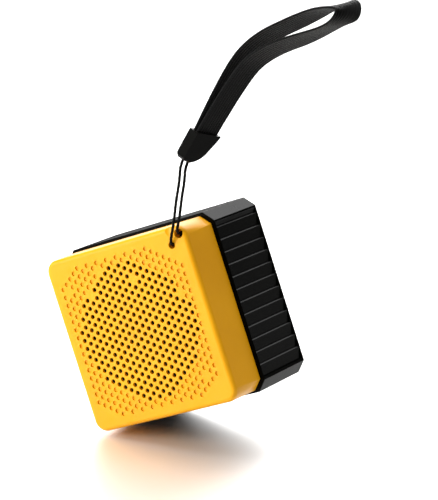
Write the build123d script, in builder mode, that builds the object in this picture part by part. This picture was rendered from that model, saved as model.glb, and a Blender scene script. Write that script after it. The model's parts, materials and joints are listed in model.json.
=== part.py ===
from build123d import *
import math
import os

os.makedirs("parts", exist_ok=True)

# ---------------------------------------------------------------------------
# Small cube loudspeaker hanging from its wrist strap.  Millimetres.
# Row frame: +Z up, origin at the top inside of the wrist loop, where a hand
# holds it.  The speaker hangs rolled by TILT, its front looking along -Y.
# ---------------------------------------------------------------------------

# overall sizes of the speaker
BODY = 75.0            # width and height of the black sleeve
DEPTH = 52.0           # front face to back face
SHELL_DEPTH = 18.5     # depth of the yellow front shell
FRONT_W = BODY - 4.2   # yellow shell at its front face
FRONT_H = BODY - 2.4
SEAM_W = BODY - 3.0    # yellow shell where it meets the sleeve
FRONT_CORNER = 5.0     # rounding of the front outline
FRONT_EDGE = 1.9       # rounding between the front and the sides
SEAM_CORNER = 4.0      # leg of the yellow shell's chamfers at the seam
CORNER = 4.3           # leg of the sleeve's corner chamfers
WALL = 2.0             # front shell wall
SLEEVE_WALL = 2.4
SEAL_T = 0.4           # seal between front shell and sleeve
COVER_T = 3.0          # back cover plate, set into the sleeve
COVER_GAP = 0.15       # between the cover's edge and the sleeve

# how it hangs: the lug's lower hole stays under the strap
TILT = 20.6
LUG_AT = (-66.16, -8.3, -96.51)

# perforated front
GRILLE_T = 1.0         # thickness of the face where the holes go through
HOLE_R = 0.95
HOLE_STEP_X = 2.475    # half the spacing of the holes in one row
HOLE_STEP_Z = 1.71     # spacing of the rows, each shifted by half
GRILLE_COLUMNS = int((FRONT_W / 2 - 5.6) / HOLE_STEP_X)   # each side of the middle one
GRILLE_ROWS = int((FRONT_H / 2 - 5.3) / HOLE_STEP_Z)
GRILLE_CUT = 4         # lattice steps cut off each corner
LUG_CUT = 6            # and off the corner that carries the strap lug
DRIVER_R = FRONT_W / 2 - 4.4
OPEN_R = DRIVER_R - 3.0   # holes within this radius go through, the rest are dimples
DIMPLE = 0.6
GRILLE_RIM = 2.0       # the thinned face reaches this far past OPEN_R
BLANKS = ((-4, 16), (2, 12), (-7, 11), (7, 8), (10, 6), (2, -3), (8, -5), (7, -12), (10, -14), (-11, 13))

# strap lug in the upper right corner
LUG_A = (FRONT_W / 2 - 7.8, FRONT_H / 2 - 7.05)
LUG_B = (FRONT_W / 2 - 3.2, FRONT_H / 2 - 3.4)
LUG_A_R = 1.5
LUG_B_R = 1.9
LUG_TUNNEL = 2.4       # width of the tunnel that joins them
LUG_FLOOR = 6.0        # depth of the tunnel's floor
LUG_BAR = 3.0          # depth of the bar that the cord goes round
SCOOP_R = 3.2          # hollow beside the upper hole, open to the top edge
SCOOP_AT = (LUG_B[0] - 3.6, LUG_B[1] - 0.5)
SCOOP_SLOPE = 18.0

# board and battery
BOARD_D = DEPTH - 9.0  # depth of the board's front side
BOARD_T = 1.6
PAD_T = 1.5
CELL_W = 32.0
CELL_H = 38.0
CELL_T = 7.5

# loudspeaker driver
FLANGE_D = 4.6         # depth of the front of the driver's flange
FLANGE_T = 1.0
EAR = DRIVER_R - 6.5   # its four screws, this far each way from the middle
EAR_R = 3.0
COIL_R = 7.5
CONE_R = DRIVER_R - 9.5
PLATE_T = 2.5
MAGNET_T = 5.5
DRIVER_BACK = BOARD_D - PAD_T - CELL_T - 3.5
NECK_D = DRIVER_BACK - 2 * PLATE_T - MAGNET_T   # depth of the basket's back ring

# ribs of the sleeve
RIB_PITCH = 5.2
RIB_FIRST = BODY / 2 - 7.1
RIB_CUT = 0.8
RIB_BEVEL = 0.4        # along each rib's upper edge
RIB_FRONT = 0.4        # ribs start this far behind the sleeve's front edge
RIB_BACK = 1.6         # and end this far from its back edge
RIM_BEVEL = 0.3

# screws
POST = (BODY / 2 - 8.0, BODY / 2 - 7.5)   # long case screws, one near each corner
POST_R = 3.2
BOARD_W = BODY - 17.0
BOARD_H = 2 * (POST[1] - POST_R - 0.8)
BOARD_POST = (BOARD_W / 2 - 5.0, BOARD_H / 2 - 5.0)
SCREW_HEAD_R = 2.0
SHANK_R = 1.0
EAR_SHANK_R = 0.95
PILOT_D = 9.0          # the case screws' pilot holes end at this depth
SEAT_D = DEPTH - 1.8   # depth of the case screws' seats
SEAT_RISE = 1.4        # the cover's seats reach this far in to the sleeve's posts
BOARD_SHANK_R = 0.8

# back panel
BUTTON_R = 4.5
BUTTON_GAP = 0.1
BUTTON_Z = 10.0
BUTTON_PITCH = (BODY - 19.0) / 4
BUTTON_TRAVEL = 0.5
PORT_Z = -17.0
PORT_W = 20.0
PORT_H = 10.0
PORT_DEEP = 2.2
HINGE_R = 0.5
HINGE_GAP = 0.05

# wrist strap
WEB_W = 10.0
WEB_T = 1.0
CORD_D = 1.2
LOOP_TURN = 18.9       # the loop's width axis is turned from -Y by this
LOOP_LEAN = 25.1       # and raised by this
CLAMP_W = 12.2
CLAMP_L = 11.3
CLAMP_T = 5.5
CLAMP_FOOT = (-49.2, -67.2)
CLAMP_ANGLE = 75.0
CLAMP_ROUND = 0.9      # rounding of its foot

sleeve_front = SHELL_DEPTH + SEAL_T
cover_front = DEPTH - COVER_T
sleeve_depth = DEPTH - sleeve_front

tilt = math.radians(TILT)
FACE_AT = (
    LUG_AT[0] - LUG_A[0] * math.cos(tilt) + LUG_A[1] * math.sin(tilt),
    LUG_AT[1],
    LUG_AT[2] - LUG_A[0] * math.sin(tilt) - LUG_A[1] * math.cos(tilt),
)
# the front face, seen from the front
FACE = Plane(
    origin=FACE_AT,
    x_dir=(math.cos(tilt), 0, math.sin(tilt)),
    z_dir=(0, -1, 0),
)
# radius runs along x and depth along y, for turned pieces
AXIAL = Plane(origin=FACE_AT, x_dir=FACE.x_dir, z_dir=FACE.y_dir)
BACKWARD = Axis(FACE_AT, (0, 1, 0))


def layer(depth):
    """Plane parallel to the front face, this far behind it, looking forward."""
    return FACE.offset(-depth)


def chamfered_square(width, height, leg):
    """Octagonal outline in the current sketch."""
    w = width / 2
    h = height / 2
    Polygon(
        (w - leg, h), (w, h - leg), (w, leg - h), (w - leg, -h),
        (leg - w, -h), (-w, leg - h), (-w, h - leg), (leg - w, h),
        align=None,
    )


def corners(x, z):
    """The same place in all four quarters."""
    return [(x, z), (-x, z), (-x, -z), (x, -z)]


def turned(points):
    """Solid of revolution about the driver's axis, from radius and depth pairs."""
    with BuildSketch(AXIAL) as profile:
        Polygon(*points, align=None)
    revolve(profile.sketch, axis=BACKWARD)


# ---------------------------------------------------------------------------
# Yellow front shell with its perforated face and strap lug
# ---------------------------------------------------------------------------
def lattice():
    """Places of all the grille's holes as (column, row)."""
    places = []
    for row in range(-GRILLE_ROWS, GRILLE_ROWS + 1):
        for column in range(-GRILLE_COLUMNS, GRILLE_COLUMNS + 1):
            if (row + column) % 2:
                continue
            cut = LUG_CUT if row > 0 and column > 0 else GRILLE_CUT
            if abs(row) + abs(column) > GRILLE_ROWS + GRILLE_COLUMNS - cut:
                continue
            if (column, row) in BLANKS:
                continue
            places.append((column * HOLE_STEP_X, row * HOLE_STEP_Z))
    return places


grille = lattice()
open_holes = [p for p in grille if math.hypot(*p) <= OPEN_R]
dimples = [p for p in grille if math.hypot(*p) > OPEN_R]
lug_run = math.dist(LUG_A, LUG_B)
lug_angle = math.degrees(math.atan2(LUG_B[1] - LUG_A[1], LUG_B[0] - LUG_A[0]))
lug_mid = ((LUG_A[0] + LUG_B[0]) / 2, (LUG_A[1] + LUG_B[1]) / 2)

slope = math.radians(SCOOP_SLOPE)
SCOOP = Plane(
    origin=FACE.from_local_coords((*SCOOP_AT, SCOOP_R)),
    z_dir=FACE.y_dir * math.cos(slope) - FACE.z_dir * math.sin(slope),
)

with BuildPart() as front_shell:
    with BuildSketch(layer(0)):
        RectangleRounded(FRONT_W, FRONT_H, FRONT_CORNER)
    with BuildSketch(layer(SHELL_DEPTH)):
        chamfered_square(SEAM_W, FRONT_H, SEAM_CORNER)
    loft()
    front_edges = front_shell.faces().sort_by(Axis.Y)[0].outer_wire().edges()
    fillet(front_edges, FRONT_EDGE)
    with BuildSketch(layer(WALL)):
        RectangleRounded(FRONT_W - 2 * WALL, FRONT_H - 2 * WALL, FRONT_CORNER - 1.6)
    with BuildSketch(layer(SHELL_DEPTH)):
        chamfered_square(SEAM_W - 2 * WALL, FRONT_H - 2 * WALL, SEAM_CORNER - 0.8)
    loft(mode=Mode.SUBTRACT)
    # posts for the case screws and for the driver
    with BuildSketch(layer(WALL - 0.2)):
        with Locations(*corners(*POST)):
            Circle(POST_R)
    extrude(amount=-(SHELL_DEPTH - WALL + 0.2))
    with BuildSketch(layer(WALL - 0.2)):
        with Locations(*corners(EAR, EAR)):
            Circle(EAR_R - 0.4)
    extrude(amount=-(FLANGE_D - WALL + 0.2))
    # solid block behind the lug's two holes, kept inside the shell's outline
    with BuildSketch(layer(WALL - 0.2)):
        with Locations(lug_mid):
            SlotCenterToCenter(lug_run, LUG_TUNNEL + 2.6, rotation=lug_angle)
        RectangleRounded(FRONT_W - WALL, FRONT_H - WALL, FRONT_CORNER - 1.0, mode=Mode.INTERSECT)
    extrude(amount=-(LUG_FLOOR + 1.6 - WALL + 0.2))
    with BuildSketch(layer(0)):
        with Locations(LUG_A):
            Circle(LUG_A_R)
        with Locations(LUG_B):
            Circle(LUG_B_R)
    extrude(amount=-LUG_FLOOR, mode=Mode.SUBTRACT)
    with BuildSketch(layer(LUG_BAR)):
        with Locations(lug_mid):
            SlotCenterToCenter(lug_run, LUG_TUNNEL, rotation=lug_angle)
    extrude(amount=-(LUG_FLOOR - LUG_BAR), mode=Mode.SUBTRACT)
    with BuildSketch(SCOOP):
        Circle(SCOOP_R)
    extrude(amount=2.2 * SCOOP_R, mode=Mode.SUBTRACT)
    # pilot holes
    with BuildSketch(layer(SHELL_DEPTH)):
        with Locations(*corners(*POST)):
            Circle(SHANK_R)
    extrude(amount=SHELL_DEPTH - PILOT_D, mode=Mode.SUBTRACT)
    with BuildSketch(layer(FLANGE_D)):
        with Locations(*corners(EAR, EAR)):
            Circle(EAR_SHANK_R)
    extrude(amount=FLANGE_D - 1.3, mode=Mode.SUBTRACT)
    # grille: the face is thinned from behind, then drilled
    with BuildSketch(layer(GRILLE_T)):
        Circle(OPEN_R + GRILLE_RIM)
    extrude(amount=GRILLE_T - WALL, mode=Mode.SUBTRACT)
    with BuildSketch(layer(0)):
        with Locations(*open_holes):
            Circle(HOLE_R)
    extrude(amount=-(WALL + 0.1), mode=Mode.SUBTRACT)
    with BuildSketch(layer(0)):
        with Locations(*dimples):
            Circle(HOLE_R)
    extrude(amount=-DIMPLE, mode=Mode.SUBTRACT)
front_shell.part.label = "front_shell"
export_step(front_shell.part, "parts/front_shell.step")

# black dust cloth glued behind the open holes
CLOTH_D = GRILLE_T + 0.05
CLOTH_T = 0.3
with BuildPart() as dust_cloth:
    with BuildSketch(layer(CLOTH_D)):
        Circle(OPEN_R + GRILLE_RIM - 0.1)
    extrude(amount=-CLOTH_T)
dust_cloth.part.label = "dust_cloth"
export_step(dust_cloth.part, "parts/dust_cloth.step")

# ---------------------------------------------------------------------------
# Loudspeaker driver
# ---------------------------------------------------------------------------
with BuildPart() as driver_gasket:
    with BuildSketch(layer(CLOTH_D + CLOTH_T)):
        Circle(OPEN_R + GRILLE_RIM - 0.1)
        Circle(OPEN_R + 0.4, mode=Mode.SUBTRACT)
    extrude(amount=-(FLANGE_D - CLOTH_D - CLOTH_T))
driver_gasket.part.label = "driver_gasket"
export_step(driver_gasket.part, "parts/driver_gasket.step")

flange_back = FLANGE_D + FLANGE_T
BASKET_R = CONE_R + 7.1
RING_R = 16.0
ROLL_R = 2.2           # rolled edge of the cone
bowl_d = FLANGE_D + ROLL_R + 1.2   # the basket starts to narrow behind the rolled edge
with BuildPart() as driver_basket:
    with BuildSketch(layer(FLANGE_D)):
        Circle(DRIVER_R)
        with Locations(*corners(EAR, EAR)):
            Circle(EAR_R)
        with Locations((0, 0)):
            Rectangle(2 * EAR, 2 * EAR_R, rotation=45)
            Rectangle(2 * EAR, 2 * EAR_R, rotation=-45)
        Circle(CONE_R + 6.0, mode=Mode.SUBTRACT)
    extrude(amount=-FLANGE_T)
    turned([
        (BASKET_R, FLANGE_D), (BASKET_R, bowl_d), (RING_R, NECK_D - 1.0), (RING_R, NECK_D),
        (COIL_R + 0.9, NECK_D), (COIL_R + 0.9, NECK_D - 1.0), (RING_R - 1.0, NECK_D - 1.0),
        (BASKET_R - 1.1, bowl_d - 0.4), (BASKET_R - 1.1, FLANGE_D),
    ])
    # four windows between its legs
    with BuildSketch(layer(bowl_d + 0.5)):
        with PolarLocations(CONE_R - 1.0, 4):
            RectangleRounded(6.5, 15.0, 1.5)
    extrude(amount=-(NECK_D - 1.5 - bowl_d - 0.5), mode=Mode.SUBTRACT)
    with BuildSketch(layer(FLANGE_D)):
        with Locations(*corners(EAR, EAR)):
            Circle(EAR_SHANK_R + 0.2)
    extrude(amount=-FLANGE_T, mode=Mode.SUBTRACT)
driver_basket.part.label = "driver_basket"
export_step(driver_basket.part, "parts/driver_basket.step")

with BuildPart() as top_plate:
    turned([
        (COIL_R + 0.7, NECK_D), (RING_R - 0.5, NECK_D),
        (RING_R - 0.5, NECK_D + PLATE_T), (COIL_R + 0.7, NECK_D + PLATE_T),
    ])
top_plate.part.label = "driver_top_plate"
export_step(top_plate.part, "parts/driver_top_plate.step")

magnet_front = NECK_D + PLATE_T
magnet_back = magnet_front + MAGNET_T
with BuildPart() as magnet:
    turned([
        (COIL_R + 2.5, magnet_front), (RING_R, magnet_front),
        (RING_R, magnet_back), (COIL_R + 2.5, magnet_back),
    ])
    chamfer(magnet.edges().filter_by(GeomType.CIRCLE).sort_by(SortBy.RADIUS)[-2:], 0.5)
magnet.part.label = "driver_magnet"
export_step(magnet.part, "parts/driver_magnet.step")

with BuildPart() as back_yoke:
    turned([
        (0, NECK_D - 0.4), (COIL_R - 0.9, NECK_D - 0.4), (COIL_R - 0.9, magnet_back),
        (RING_R - 0.5, magnet_back), (RING_R - 0.5, DRIVER_BACK), (0, DRIVER_BACK),
    ])
back_yoke.part.label = "driver_yoke"
export_step(back_yoke.part, "parts/driver_yoke.step")

# moving coil, cone and dust cap
CONE_T = 0.5
NECK_CONE_D = NECK_D - 5.4   # where the cone meets the coil
RIM_D = flange_back
with BuildPart() as voice_coil:
    turned([
        (COIL_R - 0.5, NECK_CONE_D - 0.6), (COIL_R, NECK_CONE_D - 0.6),
        (COIL_R, magnet_front), (COIL_R - 0.5, magnet_front),
    ])
voice_coil.part.label = "voice_coil"
export_step(voice_coil.part, "parts/voice_coil.step")

with BuildPart() as cone:
    turned([
        (COIL_R, NECK_CONE_D), (COIL_R, NECK_CONE_D - CONE_T), (CONE_R, RIM_D - CONE_T), (CONE_R, RIM_D),
    ])
cone.part.label = "driver_cone"
export_step(cone.part, "parts/driver_cone.step")

CAP_R = 8.9
CAP_RISE = 2.6
CAP_T = 0.4
cap_seat = NECK_CONE_D - CONE_T - 0.05 - (CAP_R - COIL_R) * (NECK_CONE_D - RIM_D) / (CONE_R - COIL_R)
dome_r = (CAP_R**2 + CAP_RISE**2) / (2 * CAP_RISE)
dome_centre = cap_seat - CAP_RISE + dome_r
with BuildPart() as dust_cap:
    with BuildSketch(AXIAL):
        with Locations((0, dome_centre)):
            Circle(dome_r)
            Circle(dome_r - CAP_T, mode=Mode.SUBTRACT)
        with Locations((CAP_R, cap_seat)):
            Rectangle(2 * CAP_R, 2 * CAP_RISE, mode=Mode.INTERSECT)
        with Locations((0, cap_seat)):
            Rectangle(4 * CAP_R, 2 * CAP_RISE, align=(Align.MIN, Align.MAX), mode=Mode.INTERSECT)
    revolve(axis=BACKWARD)
dust_cap.part.label = "dust_cap"
export_step(dust_cap.part, "parts/dust_cap.step")

# rolled rubber edge that carries the cone
roll_centre = CONE_R + 0.3 + ROLL_R
with BuildPart() as surround:
    with BuildSketch(AXIAL):
        with BuildLine():
            Line((roll_centre - ROLL_R, FLANGE_D + 0.1), (roll_centre - ROLL_R + 0.4, FLANGE_D + 0.1))
            ThreePointArc(
                (roll_centre - ROLL_R + 0.4, FLANGE_D + 0.1),
                (roll_centre, FLANGE_D + ROLL_R - 0.3),
                (roll_centre + ROLL_R - 0.4, FLANGE_D + 0.1),
            )
            Line((roll_centre + ROLL_R - 0.4, FLANGE_D + 0.1), (roll_centre + 3.3, FLANGE_D + 0.1))
            Line((roll_centre + 3.3, FLANGE_D + 0.1), (roll_centre + 3.3, FLANGE_D + 0.5))
            Line((roll_centre + 3.3, FLANGE_D + 0.5), (roll_centre + ROLL_R, FLANGE_D + 0.5))
            ThreePointArc(
                (roll_centre + ROLL_R, FLANGE_D + 0.5),
                (roll_centre, FLANGE_D + 0.5 + ROLL_R),
                (roll_centre - ROLL_R, FLANGE_D + 0.5),
            )
            Line((roll_centre - ROLL_R, FLANGE_D + 0.5), (roll_centre - ROLL_R, FLANGE_D + 0.1))
        make_face()
    revolve(axis=BACKWARD)
surround.part.label = "driver_surround"
export_step(surround.part, "parts/driver_surround.step")

# centring disc between coil and basket
SPIDER_D = NECK_D - 2.4
with BuildPart() as spider:
    turned([
        (COIL_R + 0.1, SPIDER_D), (COIL_R + 1.5, SPIDER_D), (COIL_R + 2.5, SPIDER_D - 0.7),
        (COIL_R + 3.7, SPIDER_D + 0.5), (COIL_R + 4.9, SPIDER_D - 0.7), (COIL_R + 5.9, SPIDER_D),
        (RING_R - 0.1, SPIDER_D), (RING_R - 0.1, SPIDER_D + 0.3), (COIL_R + 5.8, SPIDER_D + 0.3),
        (COIL_R + 4.9, SPIDER_D - 0.3), (COIL_R + 3.7, SPIDER_D + 0.9), (COIL_R + 2.5, SPIDER_D - 0.3),
        (COIL_R + 1.6, SPIDER_D + 0.3), (COIL_R + 0.1, SPIDER_D + 0.3),
    ])
spider.part.label = "driver_spider"
export_step(spider.part, "parts/driver_spider.step")

with BuildPart() as terminals:
    with BuildSketch(layer(flange_back)):
        with Locations((0, 1.0 - DRIVER_R)):
            Rectangle(9.0, 2.0)
    extrude(amount=-1.2)
    with BuildSketch(layer(flange_back + 1.2)):
        with Locations((-2.6, 1.0 - DRIVER_R), (2.6, 1.0 - DRIVER_R)):
            Rectangle(2.0, 0.5)
    extrude(amount=-2.4)
terminals.part.label = "driver_terminals"
export_step(terminals.part, "parts/driver_terminals.step")

with BuildPart() as driver_screws:
    with BuildSketch(layer(flange_back)):
        with Locations(*corners(EAR, EAR)):
            Circle(1.9)
    extrude(amount=-1.2)
    with BuildSketch(layer(1.5)):
        with Locations(*corners(EAR, EAR)):
            Circle(EAR_SHANK_R)
    extrude(amount=-(flange_back - 1.5))
    with BuildSketch(layer(flange_back + 1.2)):
        with Locations(*corners(EAR, EAR)):
            Rectangle(2.4, 0.5)
            Rectangle(0.5, 2.4)
    extrude(amount=0.7, mode=Mode.SUBTRACT)
driver_screws.part.label = "driver_screws"
export_step(driver_screws.part, "parts/driver_screws.step")

# ---------------------------------------------------------------------------
# Black sleeve with lapped ribs on its four sides
# ---------------------------------------------------------------------------
with BuildPart() as seam_seal:
    with BuildSketch(layer(SHELL_DEPTH)):
        chamfered_square(SEAM_W - 0.8, FRONT_H - 0.8, SEAM_CORNER)
    extrude(amount=-SEAL_T)
    with BuildSketch(layer(SHELL_DEPTH)):
        chamfered_square(SEAM_W - 2 * WALL + 0.4, FRONT_H - 2 * WALL + 0.4, SEAM_CORNER - 0.8)
    extrude(amount=-SEAL_T, mode=Mode.SUBTRACT)
seam_seal.part.label = "seam_seal"
export_step(seam_seal.part, "parts/seam_seal.step")

half = BODY / 2
rib_limit = half - CORNER - 0.4
rib_count = int((RIB_FIRST + rib_limit) / RIB_PITCH) + 1
rib_lines = [RIB_FIRST - RIB_PITCH * i for i in range(rib_count)]
rib_tops = [rib_limit] + rib_lines[:-1]
SLEEVE_MOUTH = BODY - 11.0   # opening in the sleeve's front wall

with BuildPart() as rear_shell:
    with BuildSketch(layer(sleeve_front)):
        chamfered_square(BODY, BODY, CORNER)
    extrude(amount=-sleeve_depth)
    rim_faces = rear_shell.faces().filter_by(Axis.Y)
    chamfer(rim_faces.sort_by(Axis.Y)[0].edges(), RIM_BEVEL)
    chamfer(rim_faces.sort_by(Axis.Y)[-1].edges(), 2 * RIM_BEVEL)
    with BuildSketch(layer(sleeve_front + SLEEVE_WALL)):
        chamfered_square(BODY - 2 * SLEEVE_WALL, BODY - 2 * SLEEVE_WALL, CORNER - 1.0)
    extrude(amount=-(sleeve_depth - SLEEVE_WALL), mode=Mode.SUBTRACT)
    with BuildSketch(layer(sleeve_front)):
        chamfered_square(SLEEVE_MOUTH, SLEEVE_MOUTH, 13.0)
    extrude(amount=-SLEEVE_WALL, mode=Mode.SUBTRACT)
    with BuildSketch(layer(sleeve_front + SLEEVE_WALL - 0.2)):
        with Locations(*corners(*POST)):
            Circle(POST_R)
    extrude(amount=-(cover_front - SEAT_RISE - sleeve_front - SLEEVE_WALL + 0.2))
    with BuildSketch(layer(sleeve_front)):
        with Locations(*corners(*POST)):
            Circle(SHANK_R + 0.2)
    extrude(amount=-sleeve_depth, mode=Mode.SUBTRACT)
    # each rib has a bevelled upper edge and sinks to the ledge at its lower one
    with BuildSketch(layer(sleeve_front + RIB_FRONT)):
        for top, line in zip(rib_tops, rib_lines):
            for side in (-1, 1):
                Polygon((side * (half + 1), top), (side * (half - RIB_BEVEL), top),
                        (side * half, top - RIB_BEVEL), (side * (half - RIB_CUT), line),
                        (side * (half + 1), line), align=None)
                Polygon((top, side * (half + 1)), (top, side * (half - RIB_BEVEL)),
                        (top - RIB_BEVEL, side * half), (line, side * (half - RIB_CUT)),
                        (line, side * (half + 1)), align=None)
    extrude(amount=-(sleeve_depth - RIB_FRONT - RIB_BACK), mode=Mode.SUBTRACT)
rear_shell.part.label = "rear_shell"
export_step(rear_shell.part, "parts/rear_shell.step")

# ---------------------------------------------------------------------------
# Back cover: screw seats, four button holes, light, charging port
# ---------------------------------------------------------------------------
buttons_x = [BUTTON_PITCH * (i - 1.5) for i in range(4)]
hinge_z = PORT_Z - PORT_H / 2 + 1.35
hinge_d = DEPTH - 1.15
HINGE = Plane(
    origin=FACE.from_local_coords((0, hinge_z, -hinge_d)),
    x_dir=(0, 1, 0),
    z_dir=FACE.x_dir,
)
USB_W = 8.94
USB_H = 3.2
LIGHT = (0, 22.0)
LIGHT_R = 1.0

COVER_W = BODY - 2 * SLEEVE_WALL - 2 * COVER_GAP
with BuildPart() as back_cover:
    with BuildSketch(layer(cover_front)):
        chamfered_square(COVER_W, COVER_W, CORNER - 1.0)
    extrude(amount=-COVER_T)
    chamfer(back_cover.faces().sort_by(Axis.Y)[-1].edges(), 0.4)
    with BuildSketch(layer(cover_front)):
        with Locations(*corners(*BOARD_POST)):
            Circle(2.4)
    extrude(amount=cover_front - BOARD_D - BOARD_T)
    with BuildSketch(layer(BOARD_D + BOARD_T)):
        with Locations(*corners(*BOARD_POST)):
            Circle(BOARD_SHANK_R)
    extrude(amount=-3.6, mode=Mode.SUBTRACT)
    # screw seats that stand on the sleeve's posts
    with BuildSketch(layer(cover_front)):
        with Locations(*corners(*POST)):
            Circle(POST_R - 0.2)
    extrude(amount=SEAT_RISE)
    with BuildSketch(layer(cover_front - SEAT_RISE)):
        with Locations(*corners(*POST)):
            Circle(SHANK_R + 0.2)
    extrude(amount=-(COVER_T + SEAT_RISE), mode=Mode.SUBTRACT)
    with BuildSketch(layer(DEPTH)):
        with Locations(*corners(*POST)):
            Circle(SCREW_HEAD_R + 0.2)
    extrude(amount=DEPTH - SEAT_D, mode=Mode.SUBTRACT)
    with BuildSketch(layer(cover_front)):
        with Locations(*[(x, BUTTON_Z) for x in buttons_x]):
            Circle(BUTTON_R + BUTTON_GAP)
        with Locations(LIGHT):
            Circle(LIGHT_R)
    extrude(amount=-COVER_T, mode=Mode.SUBTRACT)
    # charging port bay with the slot for the socket in its floor
    with BuildSketch(layer(DEPTH)):
        with Locations((0, PORT_Z)):
            RectangleRounded(PORT_W, PORT_H, 0.8)
    extrude(amount=PORT_DEEP, mode=Mode.SUBTRACT)
    with BuildSketch(layer(cover_front)):
        with Locations((0, PORT_Z + 1.0)):
            SlotOverall(USB_W + 0.6, USB_H + 0.6)
    extrude(amount=-COVER_T, mode=Mode.SUBTRACT)
    with BuildSketch(HINGE):
        Circle(HINGE_R)
    extrude(amount=PORT_W / 2 + 1.5, both=True, mode=Mode.SUBTRACT)
back_cover.part.label = "back_cover"
export_step(back_cover.part, "parts/back_cover.step")

with BuildPart() as case_screws:
    with BuildSketch(layer(SEAT_D)):
        with Locations(*corners(*POST)):
            Circle(SCREW_HEAD_R)
    extrude(amount=-1.4)
    with BuildSketch(layer(PILOT_D + 0.5)):
        with Locations(*corners(*POST)):
            Circle(SHANK_R)
    extrude(amount=-(SEAT_D - PILOT_D - 0.5))
    with BuildSketch(layer(DEPTH - 0.4)):
        with Locations(*corners(*POST)):
            Rectangle(2.6, 0.5)
            Rectangle(0.5, 2.6)
    extrude(amount=0.8, mode=Mode.SUBTRACT)
case_screws.part.label = "case_screws"
export_step(case_screws.part, "parts/case_screws.step")

# push buttons, one node each: cap, and a collar that keeps it behind the plate
CAP_PROUD = 0.6
collar_front = cover_front - 1.1
button_names = ["button_power", "button_lower", "button_raise", "button_mode"]
for name, x in zip(button_names, buttons_x):
    with BuildPart() as button:
        with BuildSketch(layer(collar_front)):
            with Locations((x, BUTTON_Z)):
                Circle(BUTTON_R + 0.8)
        extrude(amount=-1.05)
        with BuildSketch(layer(collar_front)):
            with Locations((x, BUTTON_Z)):
                Circle(BUTTON_R)
        extrude(amount=-(DEPTH + CAP_PROUD - collar_front))
        chamfer(button.faces().sort_by(Axis.Y)[-1].edges(), 0.35)
    button.part.label = name
    export_step(button.part, f"parts/{name}.step")

with BuildPart() as port_cover_pin:
    with BuildSketch(HINGE):
        Circle(HINGE_R)
    extrude(amount=PORT_W / 2 + 1.4, both=True)
port_cover_pin.part.label = "port_cover_pin"
export_step(port_cover_pin.part, "parts/port_cover_pin.step")

BARREL_R = 1.0
COVER_PLATE = 1.3
with BuildPart() as port_cover:
    with BuildSketch(HINGE):
        Circle(BARREL_R)
        with Locations((-0.35 + COVER_PLATE / 2, (PORT_H - 1.6) / 2)):
            Rectangle(COVER_PLATE, PORT_H - 1.6)
    extrude(amount=PORT_W / 2 - 0.2, both=True)
    with BuildSketch(HINGE):
        Circle(HINGE_R + HINGE_GAP)
    extrude(amount=PORT_W / 2, both=True, mode=Mode.SUBTRACT)
port_cover.part.label = "port_cover"
export_step(port_cover.part, "parts/port_cover.step")

# ---------------------------------------------------------------------------
# Board, its parts and the battery
# ---------------------------------------------------------------------------
board_back = BOARD_D + BOARD_T
usb_mouth = DEPTH - PORT_DEEP - 0.1
with BuildPart() as main_board:
    with BuildSketch(layer(BOARD_D)):
        RectangleRounded(BOARD_W, BOARD_H, 2.0)
        with Locations(*corners(*BOARD_POST)):
            Circle(1.1, mode=Mode.SUBTRACT)
        with Locations((0, PORT_Z + 1.0)):
            Rectangle(USB_W + 0.4, USB_H + 0.4, mode=Mode.SUBTRACT)
    extrude(amount=-BOARD_T)
main_board.part.label = "main_board"
export_step(main_board.part, "parts/main_board.step")

with BuildPart() as board_screws:
    with BuildSketch(layer(BOARD_D)):
        with Locations(*corners(*BOARD_POST)):
            Circle(1.7)
    extrude(amount=1.1)
    with BuildSketch(layer(BOARD_D)):
        with Locations(*corners(*BOARD_POST)):
            Circle(BOARD_SHANK_R)
    extrude(amount=-5.0)
board_screws.part.label = "board_screws"
export_step(board_screws.part, "parts/board_screws.step")

with BuildPart() as usb_socket:
    with BuildSketch(layer(BOARD_D)):
        with Locations((0, PORT_Z + 1.0)):
            SlotOverall(USB_W, USB_H)
    extrude(amount=-(usb_mouth - BOARD_D))
    with BuildSketch(layer(usb_mouth)):
        with Locations((0, PORT_Z + 1.0)):
            SlotOverall(USB_W - 0.6, USB_H - 0.6)
            Rectangle(6.4, 0.7, mode=Mode.SUBTRACT)
    extrude(amount=6.0, mode=Mode.SUBTRACT)
    with BuildSketch(layer(board_back)):
        with Locations((-5.4, PORT_Z + 1.0), (5.4, PORT_Z + 1.0)):
            Rectangle(2.2, 1.6)
    extrude(amount=-0.4)
usb_socket.part.label = "usb_socket"
export_step(usb_socket.part, "parts/usb_socket.step")

with BuildPart() as button_switches:
    with BuildSketch(layer(board_back)):
        with Locations(*[(x, BUTTON_Z) for x in buttons_x]):
            Rectangle(6.0, 6.0)
    extrude(amount=-2.0)
    with BuildSketch(layer(board_back + 2.0)):
        with Locations(*[(x, BUTTON_Z) for x in buttons_x]):
            Circle(1.7)
    extrude(amount=-(collar_front - BUTTON_TRAVEL - 0.1 - board_back - 2.0))
button_switches.part.label = "button_switches"
export_step(button_switches.part, "parts/button_switches.step")

with BuildPart() as status_led:
    with BuildSketch(layer(board_back)):
        with Locations(LIGHT):
            Rectangle(1.8, 1.0)
    extrude(amount=-0.7)
status_led.part.label = "status_led"
export_step(status_led.part, "parts/status_led.step")

with BuildPart() as light_pipe:
    with BuildSketch(layer(board_back + 0.8)):
        with Locations(LIGHT):
            Circle(LIGHT_R)
    extrude(amount=-(DEPTH - board_back - 0.8))
    with BuildSketch(layer(cover_front)):
        with Locations(LIGHT):
            Circle(LIGHT_R + 0.7)
    extrude(amount=0.9)
light_pipe.part.label = "light_pipe"
export_step(light_pipe.part, "parts/light_pipe.step")

with BuildPart() as amplifier_chip:
    with BuildSketch(layer(BOARD_D)):
        with Locations((22.0, 2.0)):
            Rectangle(6.0, 6.0)
    extrude(amount=1.0)
amplifier_chip.part.label = "amplifier_chip"
export_step(amplifier_chip.part, "parts/amplifier_chip.step")

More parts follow.
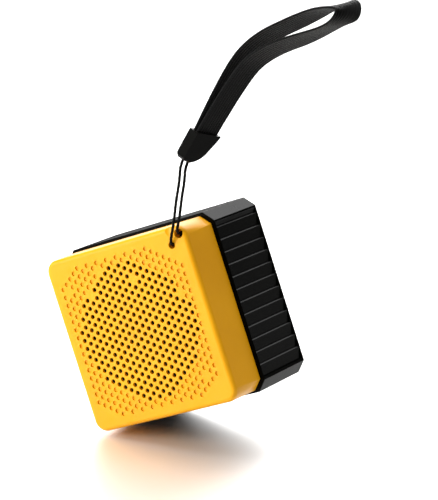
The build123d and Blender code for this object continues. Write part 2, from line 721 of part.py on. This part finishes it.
with BuildPart() as battery:
    with BuildSketch(layer(BOARD_D - PAD_T)):
        with Locations((-4.0, 0)):
            RectangleRounded(CELL_W, CELL_H, 1.5)
    extrude(amount=CELL_T)
battery.part.label = "battery"
export_step(battery.part, "parts/battery.step")

with BuildPart() as battery_pad:
    with BuildSketch(layer(BOARD_D)):
        with Locations((-4.0, 0)):
            Rectangle(CELL_W - 8.0, CELL_H - 8.0)
    extrude(amount=PAD_T)
battery_pad.part.label = "battery_pad"
export_step(battery_pad.part, "parts/battery_pad.step")

# ---------------------------------------------------------------------------
# Wrist strap: webbing loop, clamp, and the thin cord through the lug
# ---------------------------------------------------------------------------
turn = math.radians(LOOP_TURN)
lean = math.radians(LOOP_LEAN)
# the loop is drawn in this plane and its width runs along the plane's normal
LOOP = Plane(
    origin=(0, 0, 0),
    x_dir=(math.cos(turn), -math.sin(turn), 0),
    z_dir=(-math.sin(turn) * math.cos(lean), -math.cos(turn) * math.cos(lean), math.sin(lean)),
)
clamp_dir = math.radians(CLAMP_ANGLE)
clamp_up = LOOP.from_local_coords(Vector(math.cos(clamp_dir), math.sin(clamp_dir), 0))
CLAMP = Plane(
    origin=LOOP.from_local_coords((CLAMP_FOOT[0], CLAMP_FOOT[1], 0)),
    x_dir=-LOOP.z_dir,
    z_dir=(-LOOP.z_dir).cross(clamp_up),
)


def arc_radii(points):
    """Largest radius that each inner corner of a route has room for."""
    radii = []
    for before, at, after in zip(points, points[1:], points[2:]):
        run_in = Vector(at) - Vector(before)
        run_out = Vector(after) - Vector(at)
        half_turn = math.radians(run_in.get_angle(run_out) / 2)
        radii.append(0.45 * min(run_in.length, run_out.length) / math.tan(half_turn))
    return radii


# middle line of the webbing in LOOP, from inside the clamp, round and back
WEB_ROUTE = [
    (-46.2, -58.9), (-38.1, -32.1), (-28.7, -20.5), (-3.2, -10.4), (7.8, -4.9), (7.8, 1.2),
    (-2.5, 0.5), (-15.0, -7.1), (-34.0, -17.0), (-43.2, -31.1), (-47.6, -58.6),
]
web_points = [LOOP.from_local_coords((x, y, 0)) for x, y in WEB_ROUTE]
web_radii = arc_radii(web_points)
with BuildPart() as wrist_webbing:
    with BuildLine() as web_line:
        FilletPolyline(*web_points, radius=web_radii)
    start = Plane(origin=web_line.line @ 0, x_dir=LOOP.z_dir, z_dir=web_line.line % 0)
    with BuildSketch(start):
        Rectangle(WEB_W, WEB_T)
    sweep(path=web_line.line)
wrist_webbing.part.label = "wrist_webbing"
export_step(wrist_webbing.part, "parts/wrist_webbing.step")

# flat moulded clamp: straight on one edge, curved in to a narrow foot on the other
edge = -CLAMP_W / 2 + 0.5
POCKET_Y = 8.6
CORD_END = 4.5         # how far the cord's ends sit inside the clamp
ENDS = [(-3.1, -0.8), (-1.7, 0.8)]
with BuildPart() as strap_clamp:
    with BuildSketch(CLAMP):
        with BuildLine():
            Polyline(
                (edge + 0.9, -1.0), (edge, -0.1), (edge, CLAMP_L - 0.3), (5.7, CLAMP_L + 1.9),
                (5.4, 9.5), (4.3, 6.0),
            )
            ThreePointArc((4.3, 6.0), (2.1, 1.7), (-1.5, -1.0))
            Line((-1.5, -1.0), (edge + 0.9, -1.0))
        make_face()
    extrude(amount=CLAMP_T / 2, both=True)
    foot_edges = strap_clamp.edges().filter_by(lambda e: (e @ 0.5 - CLAMP.origin).dot(CLAMP.y_dir) < 2.5)
    fillet(foot_edges.filter_by(lambda e: abs((e @ 0.5 - CLAMP.origin).dot(CLAMP.z_dir)) > 1), CLAMP_ROUND)
    with BuildSketch(CLAMP):
        with Locations((0, POCKET_Y + 5.0)):
            Rectangle(WEB_W + 0.2, 10.0)
    extrude(amount=1.6, both=True, mode=Mode.SUBTRACT)
    with BuildSketch(Plane(origin=CLAMP.origin, x_dir=CLAMP.x_dir, z_dir=CLAMP.y_dir).offset(CORD_END)):
        with Locations(*[(x, -n) for x, n in ENDS]):
            Circle(CORD_D / 2)
    extrude(amount=-CORD_END - 3.0, mode=Mode.SUBTRACT)
strap_clamp.part.label = "strap_clamp"
export_step(strap_clamp.part, "parts/strap_clamp.step")

# one cord: down from the clamp, in at one hole, round the bar, out at the other, back up
LUG_TURN_D = 4.6       # depth at which it goes round behind the bar
CORD_PROUD = 1.6       # how far it stands off the front face
free_a = [(-59.4, -13.2, -69.3), (-62.1, -11.5, -77.8), (-63.9, -10.3, -87.0)]
free_b = [(-61.2, -10.3, -84.0), (-59.5, -11.5, -76.2), (-57.3, -12.9, -69.2)]


def in_clamp(end, y):
    """Point on the line of one cord end, y along the clamp."""
    return tuple(CLAMP.from_local_coords(Vector(end[0], y, end[1])))


def in_lug(hole, depth):
    """Point on the axis of one of the lug's holes."""
    return tuple(FACE.from_local_coords(Vector(hole[0], hole[1], -depth)))


CORD_ROUTE = [
    in_clamp(ENDS[0], CORD_END), in_clamp(ENDS[0], -2.5), *free_a,
    in_lug(LUG_A, -CORD_PROUD), in_lug(LUG_A, LUG_TURN_D),
    in_lug(LUG_B, LUG_TURN_D), in_lug(LUG_B, -CORD_PROUD),
    *free_b, in_clamp(ENDS[1], -2.5), in_clamp(ENDS[1], CORD_END),
]
cord_radii = arc_radii(CORD_ROUTE)
print("cord radii", [round(r, 1) for r in cord_radii])
print("cord route", [tuple(round(c, 2) for c in p) for p in CORD_ROUTE])
with BuildPart() as strap_cord:
    with BuildLine() as cord_line:
        FilletPolyline(*CORD_ROUTE, radius=cord_radii)
    with BuildSketch(Plane(origin=cord_line.line @ 0, z_dir=cord_line.line % 0)):
        Circle(CORD_D / 2)
    sweep(path=cord_line.line)
strap_cord.part.label = "strap_cord"
export_step(strap_cord.part, "parts/strap_cord.step")
cord_length = sum(run.length for run in cord_line.line.edges())
web_length = sum(run.length for run in web_line.line.edges())
cord_by_volume = strap_cord.part.volume / (math.pi * CORD_D**2 / 4)
web_by_volume = wrist_webbing.part.volume / (WEB_W * WEB_T)
print("cord length", round(cord_length, 1), "volume over section", round(cord_by_volume, 1))
print("webbing length", round(web_length, 1), "volume over section", round(web_by_volume, 1))
print("webbing radii", [round(r, 1) for r in web_radii])
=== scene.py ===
import json
import math

import bpy
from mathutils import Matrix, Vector


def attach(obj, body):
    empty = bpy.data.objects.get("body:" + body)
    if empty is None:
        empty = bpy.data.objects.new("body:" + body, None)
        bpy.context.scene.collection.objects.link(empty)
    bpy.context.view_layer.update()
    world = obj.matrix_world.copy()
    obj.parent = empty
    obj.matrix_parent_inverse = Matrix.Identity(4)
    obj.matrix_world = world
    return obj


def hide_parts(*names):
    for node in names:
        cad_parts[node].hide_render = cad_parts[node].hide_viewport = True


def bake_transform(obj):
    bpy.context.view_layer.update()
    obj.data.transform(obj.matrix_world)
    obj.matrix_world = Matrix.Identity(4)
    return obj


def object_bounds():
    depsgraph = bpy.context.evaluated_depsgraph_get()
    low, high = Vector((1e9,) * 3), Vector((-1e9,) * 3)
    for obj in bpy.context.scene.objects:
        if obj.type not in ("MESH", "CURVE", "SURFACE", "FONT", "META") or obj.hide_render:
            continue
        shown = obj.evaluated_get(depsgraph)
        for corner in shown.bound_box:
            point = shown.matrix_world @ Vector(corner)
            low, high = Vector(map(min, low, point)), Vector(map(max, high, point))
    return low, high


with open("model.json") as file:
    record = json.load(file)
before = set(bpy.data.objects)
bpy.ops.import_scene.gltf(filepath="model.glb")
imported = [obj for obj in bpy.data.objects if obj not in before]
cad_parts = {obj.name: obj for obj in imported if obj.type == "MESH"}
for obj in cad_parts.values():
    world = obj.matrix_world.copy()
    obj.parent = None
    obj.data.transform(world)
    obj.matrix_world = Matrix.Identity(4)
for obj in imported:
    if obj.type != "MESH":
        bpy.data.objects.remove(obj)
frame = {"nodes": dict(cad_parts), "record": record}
cad_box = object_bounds()
nodes = frame["nodes"]
scene = bpy.context.scene
MM = 0.001

# ---------------------------------------------------------------------------
# Where things are, in the row frame
# ---------------------------------------------------------------------------
FACE_AT = Vector((-81.7, -8.3, -133.6)) * MM      # centre of the front face
INSIDE = Vector((0, 20, 0)) * MM                  # from there to a point inside the housing

# the strap's loop lies in the plane of LOOP_X and LOOP_Y, and its width points along LOOP_WIDE
LOOP_TURN = math.radians(18.9)
LOOP_LEAN = math.radians(25.1)
LOOP_X = Vector((math.cos(LOOP_TURN), -math.sin(LOOP_TURN), 0))
LOOP_WIDE = Vector((-math.sin(LOOP_TURN) * math.cos(LOOP_LEAN),
                    -math.cos(LOOP_TURN) * math.cos(LOOP_LEAN), math.sin(LOOP_LEAN)))
LOOP_Y = LOOP_WIDE.cross(LOOP_X)

# ---------------------------------------------------------------------------
# Camera
# ---------------------------------------------------------------------------
AZIMUTH = math.radians(30.94)
ELEVATION = math.radians(13.82)
STAND_OFF = Vector((493.2, -760.9, 256.1)) * MM   # from the front face's centre to the camera
LENS = 170.4
camera_data = bpy.data.cameras.new("camera")
camera_data.sensor_width = 36.0
camera_data.lens = LENS
camera_data.clip_start = 0.05
camera_data.clip_end = 20.0
camera = bpy.data.objects.new("camera", camera_data)
scene.collection.objects.link(camera)
camera.location = FACE_AT + STAND_OFF
camera.rotation_euler = (math.radians(90) - ELEVATION, 0, AZIMUTH)
scene.camera = camera


# ---------------------------------------------------------------------------
# Materials
# ---------------------------------------------------------------------------
def new_material(name):
    material = bpy.data.materials.new(name)
    material.use_nodes = True
    tree = material.node_tree
    shader = tree.nodes["Principled BSDF"]
    return material, tree, shader


def add_noise(tree, scale, detail=4.0, rough=0.55, stretch=None):
    """Noise in object coordinates, so that it stays with the piece."""
    place = tree.nodes.new("ShaderNodeTexCoord")
    noise = tree.nodes.new("ShaderNodeTexNoise")
    noise.inputs["Scale"].default_value = scale
    noise.inputs["Detail"].default_value = detail
    noise.inputs["Roughness"].default_value = rough
    if stretch:
        mapping = tree.nodes.new("ShaderNodeMapping")
        mapping.inputs["Scale"].default_value = stretch
        tree.links.new(place.outputs["Object"], mapping.inputs["Vector"])
        tree.links.new(mapping.outputs["Vector"], noise.inputs["Vector"])
    else:
        tree.links.new(place.outputs["Object"], noise.inputs["Vector"])
    return noise


def tint(tree, shader, noise, low, high):
    """Colour that drifts between two close tones."""
    ramp = tree.nodes.new("ShaderNodeValToRGB")
    ramp.color_ramp.elements[0].position = 0.3
    ramp.color_ramp.elements[0].color = (*low, 1)
    ramp.color_ramp.elements[1].position = 0.7
    ramp.color_ramp.elements[1].color = (*high, 1)
    tree.links.new(noise.outputs["Fac"], ramp.inputs["Fac"])
    tree.links.new(ramp.outputs["Color"], shader.inputs["Base Color"])


def grain(tree, shader, noise, strength, distance):
    """Fine bumps, distance high at full strength."""
    bump = tree.nodes.new("ShaderNodeBump")
    bump.inputs["Strength"].default_value = strength
    bump.inputs["Distance"].default_value = distance
    tree.links.new(noise.outputs["Fac"], bump.inputs["Height"])
    tree.links.new(bump.outputs["Normal"], shader.inputs["Normal"])


def roughness_from(tree, shader, noise, low, high):
    """Roughness that drifts between two close values."""
    spread = tree.nodes.new("ShaderNodeMapRange")
    spread.inputs["To Min"].default_value = low
    spread.inputs["To Max"].default_value = high
    tree.links.new(noise.outputs["Fac"], spread.inputs["Value"])
    tree.links.new(spread.outputs["Result"], shader.inputs["Roughness"])


ROUGH_SPREAD = 0.04     # roughness varies by this much each way


def surface(name, low, high, rough, grain_scale=2600.0, grain_depth=0.00002, metal=0.0, specular=0.5,
            grain_strength=0.25, drift_scale=45.0, stretch=None):
    """A material of two close tones, a spread of roughness and a fine grain."""
    material, tree, shader = new_material(name)
    drift = add_noise(tree, drift_scale, stretch=stretch)
    tint(tree, shader, drift, low, high)
    roughness_from(tree, shader, drift, rough - ROUGH_SPREAD, rough + ROUGH_SPREAD)
    fine = add_noise(tree, grain_scale, detail=2.0, stretch=stretch)
    grain(tree, shader, fine, grain_strength, grain_depth)
    shader.inputs["Metallic"].default_value = metal
    shader.inputs["Specular IOR Level"].default_value = specular
    return material


WEAVE_SCALE = (9.0, 62.0, 1.0)      # finer along the tape than across it


def woven(name, low, high):
    """Tape woven in ribs: fine cross threads over the modelled ribs."""
    material, tree, shader = new_material(name)
    place = tree.nodes.new("ShaderNodeTexCoord")
    wave = tree.nodes.new("ShaderNodeTexWave")
    wave.wave_type = "BANDS"
    wave.bands_direction = "Y"
    wave.inputs["Scale"].default_value = 1.0
    wave.inputs["Distortion"].default_value = 0.35
    wave.inputs["Detail"].default_value = 2.0
    mapping = tree.nodes.new("ShaderNodeMapping")
    mapping.inputs["Scale"].default_value = WEAVE_SCALE
    tree.links.new(place.outputs["UV"], mapping.inputs["Vector"])
    tree.links.new(mapping.outputs["Vector"], wave.inputs["Vector"])
    ramp = tree.nodes.new("ShaderNodeValToRGB")
    ramp.color_ramp.elements[0].color = (*low, 1)
    ramp.color_ramp.elements[1].color = (*high, 1)
    tree.links.new(wave.outputs["Fac"], ramp.inputs["Fac"])
    tree.links.new(ramp.outputs["Color"], shader.inputs["Base Color"])
    grain(tree, shader, wave, 0.6, 0.00008)
    shader.inputs["Roughness"].default_value = 0.42
    shader.inputs["Specular IOR Level"].default_value = 0.1
    return material


def clear_plastic():
    """Lets most of the light through."""
    material = surface("clear", (0.85, 0.9, 0.86), (0.92, 0.94, 0.92), 0.12)
    material.node_tree.nodes["Principled BSDF"].inputs["Transmission Weight"].default_value = 0.85
    return material


materials = {
    "yellow_plastic": surface("yellow_plastic", (0.88, 0.39, 0.003), (0.94, 0.435, 0.004), 0.36,
                              specular=0.22, grain_scale=3200.0, grain_depth=0.000012,
                              grain_strength=0.2),
    "black_plastic": surface("black_plastic", (0.0012, 0.0014, 0.0009), (0.002, 0.0021, 0.0015), 0.26,
                             grain_depth=0.00001, specular=0.03),
    "strap_plastic": surface("strap_plastic", (0.0016, 0.0016, 0.0012), (0.003, 0.003, 0.0024), 0.3,
                             specular=0.08),
    "button_rubber": surface("button_rubber", (0.018, 0.018, 0.018), (0.026, 0.026, 0.026), 0.6, specular=0.3),
    "webbing": woven("webbing", (0.0015, 0.0015, 0.0014), (0.009, 0.009, 0.0085)),
    "cord": surface("cord", (0.0015, 0.0015, 0.0014), (0.005, 0.005, 0.0045), 0.5, grain_scale=2200.0,
                    grain_depth=0.00006, grain_strength=0.6, specular=0.06),
    "cloth": surface("cloth", (0.002, 0.002, 0.002), (0.008, 0.007, 0.006), 0.9, grain_scale=1800.0,
                     grain_depth=0.00005, specular=0.1),
    "foam": surface("foam", (0.03, 0.03, 0.03), (0.06, 0.06, 0.06), 0.9, grain_scale=1500.0,
                    grain_depth=0.0001, specular=0.15),
    "seal_rubber": surface("seal_rubber", (0.004, 0.004, 0.004), (0.008, 0.008, 0.008), 0.75, specular=0.2),
    "surround_rubber": surface("surround_rubber", (0.012, 0.012, 0.012), (0.02, 0.02, 0.02), 0.45),
    "paper": surface("paper", (0.02, 0.02, 0.02), (0.045, 0.043, 0.04), 0.85, grain_scale=900.0,
                     grain_depth=0.00006, specular=0.2),
    "spider_cloth": surface("spider_cloth", (0.42, 0.22, 0.06), (0.55, 0.33, 0.12), 0.85, grain_scale=1600.0,
                            grain_depth=0.00008, specular=0.15),
    "plated_steel": surface("plated_steel", (0.52, 0.52, 0.50), (0.66, 0.66, 0.64), 0.3, metal=1.0),
    "black_steel": surface("black_steel", (0.012, 0.012, 0.013), (0.022, 0.022, 0.024), 0.35),
    "ferrite": surface("ferrite", (0.05, 0.05, 0.054), (0.09, 0.09, 0.095), 0.7, grain_scale=1200.0,
                       grain_depth=0.00005),
    "copper": surface("copper", (0.62, 0.25, 0.10), (0.78, 0.36, 0.16), 0.28, metal=1.0,
                      stretch=(1.0, 40.0, 1.0)),
    "board": surface("board", (0.01, 0.11, 0.04), (0.02, 0.17, 0.07), 0.25),
    "chip": surface("chip", (0.012, 0.012, 0.013), (0.025, 0.025, 0.027), 0.5),
    "cell": surface("cell", (0.5, 0.51, 0.53), (0.66, 0.67, 0.69), 0.32, metal=0.8, grain_scale=400.0,
                    grain_depth=0.0001),
    "clear": clear_plastic(),
    "led": surface("led", (0.75, 0.68, 0.32), (0.9, 0.86, 0.55), 0.4),
}

for part in frame["record"]["subparts"]:
    mesh = nodes[part["node"]].data
    mesh.materials.clear()
    mesh.materials.append(materials[part["material_slot"]])


# ---------------------------------------------------------------------------
# Smooth lines and the skins that follow them
# ---------------------------------------------------------------------------
LINE_RESOLUTION = 24    # points that a line has between two control points


def smooth_line(points):
    """Points along the NURBS line that has these control points."""
    curve = bpy.data.curves.new("line", "CURVE")
    curve.dimensions = "3D"
    curve.resolution_u = LINE_RESOLUTION
    spline = curve.splines.new("NURBS")
    spline.points.add(len(points) - 1)
    for control, point in zip(spline.points, points):
        control.co = (*point, 1.0)
    spline.order_u = 3
    spline.use_endpoint_u = True
    holder = bpy.data.objects.new("line", curve)
    scene.collection.objects.link(holder)
    bpy.context.view_layer.update()
    line = bpy.data.meshes.new_from_object(holder)
    path = [v.co.copy() for v in line.vertices]
    bpy.data.objects.remove(holder)
    bpy.data.meshes.remove(line)
    return path


def directions(path):
    """Unit tangent at every point of a path."""
    last = len(path) - 1
    return [(path[min(i + 1, last)] - path[max(i - 1, 0)]).normalized() for i in range(last + 1)]


def even_path(path, step):
    """The same line with its points a fixed step apart."""
    result = [path[0].copy()]
    carried = 0.0
    for a, b in zip(path, path[1:]):
        run = (b - a).length
        at = step - carried
        while at <= run:
            result.append(a.lerp(b, at / run))
            at += step
        carried = run - (at - step)
    if (result[-1] - path[-1]).length < step / 3:
        result.pop()
    result.append(path[-1].copy())
    return result


def skin_faces(rings, count):
    """Faces over rings of count points each, one ring after another, with both ends closed."""
    faces = []
    for i in range(rings - 1):
        for k in range(count):
            nxt = (k + 1) % count
            faces.append((i * count + k, i * count + nxt, (i + 1) * count + nxt, (i + 1) * count + k))
    faces.append(tuple(range(count - 1, -1, -1)))
    last = (rings - 1) * count
    faces.append(tuple(last + k for k in range(count)))
    return faces


def mesh_object(name, vertices, faces, uvs=None):
    """A smooth mesh in the scene, with a UV pair for each vertex if given."""
    mesh = bpy.data.meshes.new(name)
    mesh.from_pydata([tuple(v) for v in vertices], [], faces)
    mesh.update()
    if uvs:
        layer = mesh.uv_layers.new(name="UVMap")
        for loop in mesh.loops:
            layer.data[loop.index].uv = uvs[loop.vertex_index]
    for polygon in mesh.polygons:
        polygon.use_smooth = True
    piece = bpy.data.objects.new(name, mesh)
    scene.collection.objects.link(piece)
    return piece


# ---------------------------------------------------------------------------
# Webbing: a flat tape with lengthwise ribs and rolled edges
# ---------------------------------------------------------------------------
WEB_WIDE = 10.0 * MM
WEB_THICK = 1.0 * MM
WEB_RIBS = 9
WEB_STEP = 0.6 * MM     # from one ring of points to the next
WEB_ROUTE = [
    (-46.2, -58.9), (-38.1, -32.1), (-28.7, -20.5), (-3.4, -9.9), (7.2, -3.2), (7.4, 2.9),
    (-2.5, 0.5), (-15.4, -6.2), (-34.4, -16.4), (-43.2, -31.1), (-47.6, -58.6),
]
TURN_AT = 0.48          # where the end turn lies along the tape
TURN_REACH = 0.17       # and how far the twist into it reaches
TURN_WIDE = Vector((-0.7, -0.67, -0.25))   # the width's direction there

# shares of the tape's half width or half thickness
RIB_POINTS = 6          # outline points across a rib
RIB_GROOVE = 0.28       # depth of the groove between two ribs
RIB_FULLNESS = 0.7      # under 1 makes a rib flatter on top than a sine
EDGE_SHARE = 0.07       # width of the rolled edge
EDGE_DROP = 0.55        # how far the edge rolls down


def tape_section():
    """Outline of the tape: (across, through), each from -1 to 1, with ribs on both faces."""
    steps = WEB_RIBS * RIB_POINTS
    top = []
    for i in range(steps + 1):
        across = -1 + 2 * i / steps
        rib = abs(math.sin(math.pi * WEB_RIBS * (across + 1) / 2)) ** RIB_FULLNESS
        rolled = max(0.0, (abs(across) - (1 - EDGE_SHARE)) / EDGE_SHARE) ** 2
        top.append((across, (1 - RIB_GROOVE + RIB_GROOVE * rib) * (1 - EDGE_DROP * rolled)))
    return top + [(a, -t) for a, t in reversed(top)]


def make_webbing():
    """The tape along its route, turned towards TURN_WIDE round the end of the loop."""
    controls = [(LOOP_X * x + LOOP_Y * y) * MM for x, y in WEB_ROUTE]
    path = even_path(smooth_line(controls), WEB_STEP)
    tangents = directions(path)
    section = tape_section()
    vertices = []
    uvs = []
    last_point = len(path) - 1
    for i, (at, along) in enumerate(zip(path, tangents)):
        near = max(0.0, 1 - abs(i / last_point - TURN_AT) / TURN_REACH)
        ease = near * near * (3 - 2 * near)
        wide = LOOP_WIDE.lerp(TURN_WIDE, ease)
        wide = (wide - along * wide.dot(along)).normalized()
        through = along.cross(wide)
        for across, up in section:
            vertices.append(at + wide * (across * WEB_WIDE / 2) + through * (up * WEB_THICK / 2))
            uvs.append(((across + 1) / 2, i * WEB_STEP / WEB_WIDE))
    piece = mesh_object("webbing_tape", vertices, skin_faces(len(path), len(section)), uvs)
    piece.data.materials.append(materials["webbing"])
    return piece


webbing = make_webbing()
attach(webbing, "strap")
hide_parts("wrist_webbing")

# ---------------------------------------------------------------------------
# Cord: one line from the clamp, through the lug and back to the clamp
# ---------------------------------------------------------------------------
CORD_THICK = 1.2 * MM
CORD_STEP = 0.25 * MM   # from one ring of points to the next
CORD_SIDES = 18         # points in a ring
CORD_STRANDS = 3
CORD_LAY = 2.2 * MM     # length from one strand's ridge to the next
CORD_GROOVE = 0.14      # depth of the groove between two strands, as a share of the radius
CORD_ROUTE = [
    (-55.69, -11.99, -55.42), (-58.34, -14.11, -61.54), (-59.4, -13.2, -69.3), (-62.1, -11.5, -77.8),
    (-63.9, -10.3, -87.0), (-66.16, -9.9, -96.51), (-66.16, -3.7, -96.51), (-63.14, -3.7, -91.47),
    (-63.14, -9.9, -91.47), (-61.2, -10.3, -84.0), (-59.5, -11.5, -76.2), (-57.3, -12.9, -69.2),
    (-56.52, -13.58, -62.51), (-53.88, -11.46, -56.38),
]


def make_cord():
    """A tube whose surface carries the twist of its strands."""
    path = even_path(smooth_line([Vector(p) * MM for p in CORD_ROUTE]), CORD_STEP)
    tangents = directions(path)
    side = tangents[0].orthogonal().normalized()
    vertices = []
    travelled = 0.0
    for i, (at, along) in enumerate(zip(path, tangents)):
        side = (side - along * side.dot(along)).normalized()
        other = along.cross(side)
        if i:
            travelled += (at - path[i - 1]).length
        twist = 2 * math.pi * travelled / (CORD_STRANDS * CORD_LAY)
        for k in range(CORD_SIDES):
            angle = 2 * math.pi * k / CORD_SIDES
            ridge = abs(math.cos(CORD_STRANDS * (angle - twist) / 2))
            radius = CORD_THICK / 2 * (1 - CORD_GROOVE + CORD_GROOVE * ridge)
            vertices.append(at + (side * math.cos(angle) + other * math.sin(angle)) * radius)
    piece = mesh_object("cord_loop", vertices, skin_faces(len(path), CORD_SIDES))
    piece.data.materials.append(materials["cord"])
    return piece, path


cord, cord_path = make_cord()
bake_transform(cord)
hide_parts("strap_cord")

# ---------------------------------------------------------------------------
# Floor, light and surroundings
# ---------------------------------------------------------------------------
FLOOR_SIZE = 12.0
floor_z = cad_box[0][2]
bpy.ops.mesh.primitive_plane_add(size=FLOOR_SIZE, location=(0, 0, floor_z))
floor = bpy.context.active_object
floor.name = "floor"
floor.data.materials.append(surface("floor", (0.93, 0.925, 0.915), (0.95, 0.945, 0.935), 0.55, metal=0.7,
                                    grain_scale=300.0, grain_strength=0.02, drift_scale=2.0))


def area_light(name, at, target, size, power):
    """A white rectangle of light at one point, facing another."""
    data = bpy.data.lights.new(name, "AREA")
    data.shape = "RECTANGLE"
    data.size, data.size_y = size
    data.energy = power
    lamp = bpy.data.objects.new(name, data)
    scene.collection.objects.link(lamp)
    lamp.location = at
    lamp.rotation_euler = (target - Vector(at)).to_track_quat("-Z", "Y").to_euler()


aim = FACE_AT + INSIDE
area_light("key", (-1.0, -1.25, 0.42), aim, (1.2, 1.0), 27.0)
area_light("overhead", (-0.3, 0.2, 1.2), aim, (1.8, 1.4), 22.0)
area_light("back", (-0.3, 1.2, 0.75), aim, (0.9, 0.5), 4.0)

# the room: dim, with a bright backdrop behind the speaker as the camera sees it
BACKDROP = Vector((-0.45, 0.80, 0.35)).normalized()
world = bpy.data.worlds.new("studio")
scene.world = world
world.use_nodes = True
sky = world.node_tree
background = sky.nodes["Background"]
background.inputs["Color"].default_value = (1, 1, 1, 1)
heading = sky.nodes.new("ShaderNodeTexCoord")
facing = sky.nodes.new("ShaderNodeVectorMath")
facing.operation = "DOT_PRODUCT"
facing.inputs[1].default_value = BACKDROP
shade = sky.nodes.new("ShaderNodeMapRange")
shade.interpolation_type = "SMOOTHSTEP"
shade.inputs["From Min"].default_value = 0.85
shade.inputs["From Max"].default_value = 0.97
shade.inputs["To Min"].default_value = 0.2
shade.inputs["To Max"].default_value = 3.8
sky.links.new(heading.outputs["Generated"], facing.inputs[0])
sky.links.new(facing.outputs["Value"], shade.inputs["Value"])
sky.links.new(shade.outputs["Result"], background.inputs["Strength"])

scene.view_settings.view_transform = "Standard"
scene.view_settings.look = "None"
